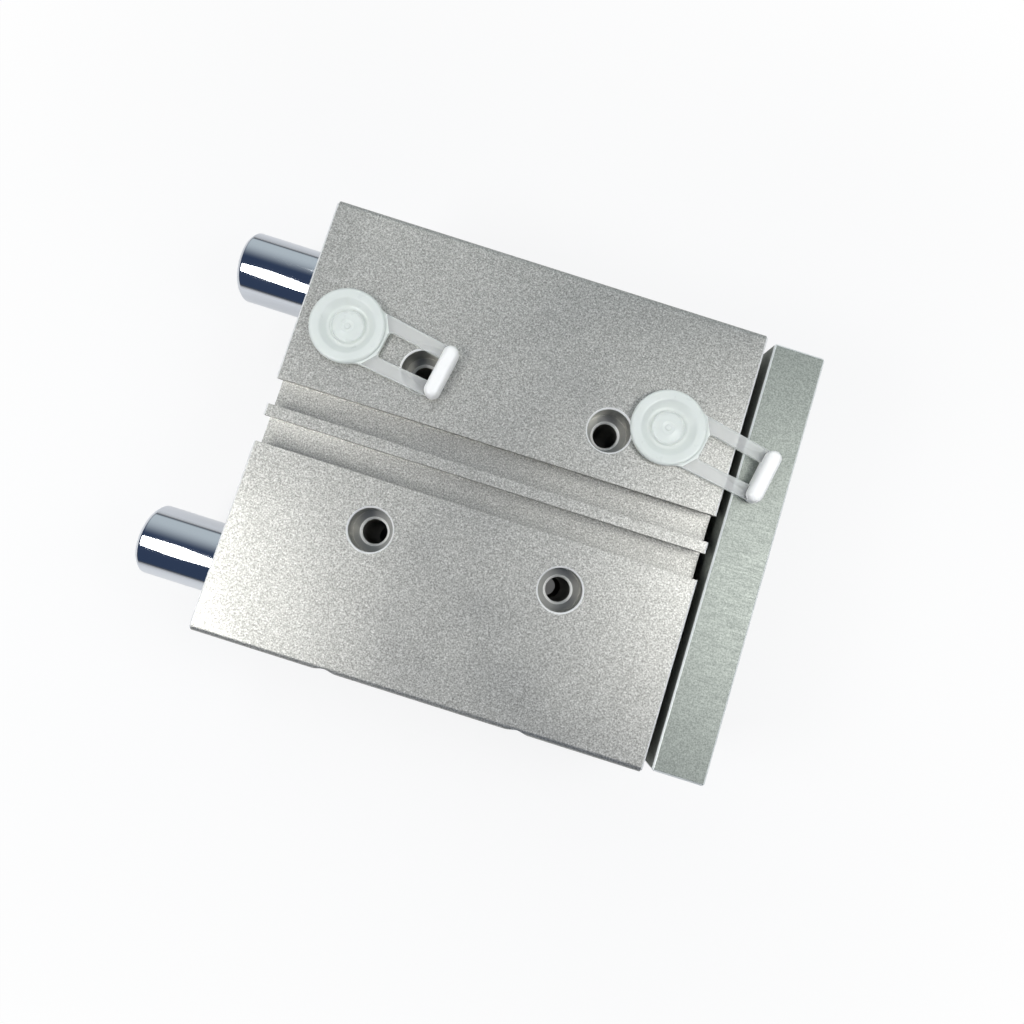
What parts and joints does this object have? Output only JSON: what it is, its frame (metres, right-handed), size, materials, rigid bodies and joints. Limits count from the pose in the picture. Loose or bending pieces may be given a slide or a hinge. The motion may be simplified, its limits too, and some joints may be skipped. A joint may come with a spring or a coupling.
{
  "type": "guided pneumatic cylinder",
  "caption": "Compact pneumatic cylinder in a machined aluminium block, with parallel guide rods, a yoke plate in front, sensor slots and plugged air ports.",
  "frame": {"origin": "on the housing's flat back face, midway between the four mounting holes", "axes": "+X is the working direction, from the housing to the yoke plate; +Y points to the side of the air ports; +Z is the normal of the front face with the sensor slots"},
  "size_m": [0.1288, 0.093, 0.0455],
  "materials": {
    "anodised_body": "bead blasted and clear anodised",
    "turned_aluminium": "turned, satin",
    "zinc_plate": "zinc plated steel, dull and slightly mottled",
    "chromed_rod": "ground and hard chromed, mirror bright",
    "stainless_rod": "ground stainless steel",
    "black_screw": "black oxide steel",
    "spring_steel": "phosphated spring steel",
    "nut_steel": "zinc plated",
    "bronze": "sintered bronze, matt",
    "seal_rubber": "black nitrile, matt",
    "polyurethane": "amber polyurethane, satin",
    "guide_plastic": "filled acetal, matt",
    "magnet": "plastic bonded ferrite",
    "cap_plastic": "milky polyethylene, half see-through"
  },
  "bodies": {
    "cylinder_body": {"housing": "anodised_body", "rear_cover": "turned_aluminium", "rear_cover_oring": "seal_rubber", "rear_retaining_ring": "spring_steel", "bearing_cap": "turned_aluminium", "bearing_cap_oring": "seal_rubber", "front_retaining_ring": "spring_steel", "rod_bush": "bronze", "rod_seal": "polyurethane", "guide_bush_rear_left": "bronze", "guide_bush_rear_right": "bronze", "guide_bush_front_left": "bronze", "guide_bush_front_right": "bronze", "guide_wiper_left": "seal_rubber", "guide_wiper_right": "seal_rubber"},
    "yoke": {"yoke_plate": "zinc_plate", "guide_rod_left": "chromed_rod", "guide_rod_right": "chromed_rod", "guide_rod_screw_left": "black_screw", "guide_rod_screw_right": "black_screw", "piston_rod": "stainless_rod", "piston_rod_screw": "black_screw", "piston": "turned_aluminium", "piston_seal_rear": "polyurethane", "piston_seal_front": "polyurethane", "piston_guide_ring": "guide_plastic", "piston_magnet": "magnet", "piston_nut": "nut_steel", "rod_oring": "seal_rubber", "cushion_pad_rear": "polyurethane", "cushion_pad_front": "polyurethane"},
    "rear_cap": {"port_cap_rear": "cap_plastic"},
    "front_cap": {"port_cap_front": "cap_plastic"}
  },
  "joints": [
    {"name": "yoke_slide", "type": "slide", "parent": "cylinder_body", "child": "yoke", "axis": [1, 0, 0], "range_m": [0, 0.05]},
    {"name": "port_cap_rear_pull", "type": "slide", "parent": "cylinder_body", "child": "rear_cap", "axis": [0, 0, 1], "range_m": [0, 0.012]},
    {"name": "port_cap_front_pull", "type": "slide", "parent": "cylinder_body", "child": "front_cap", "axis": [0, 0, 1], "range_m": [0, 0.012]}
  ]
}
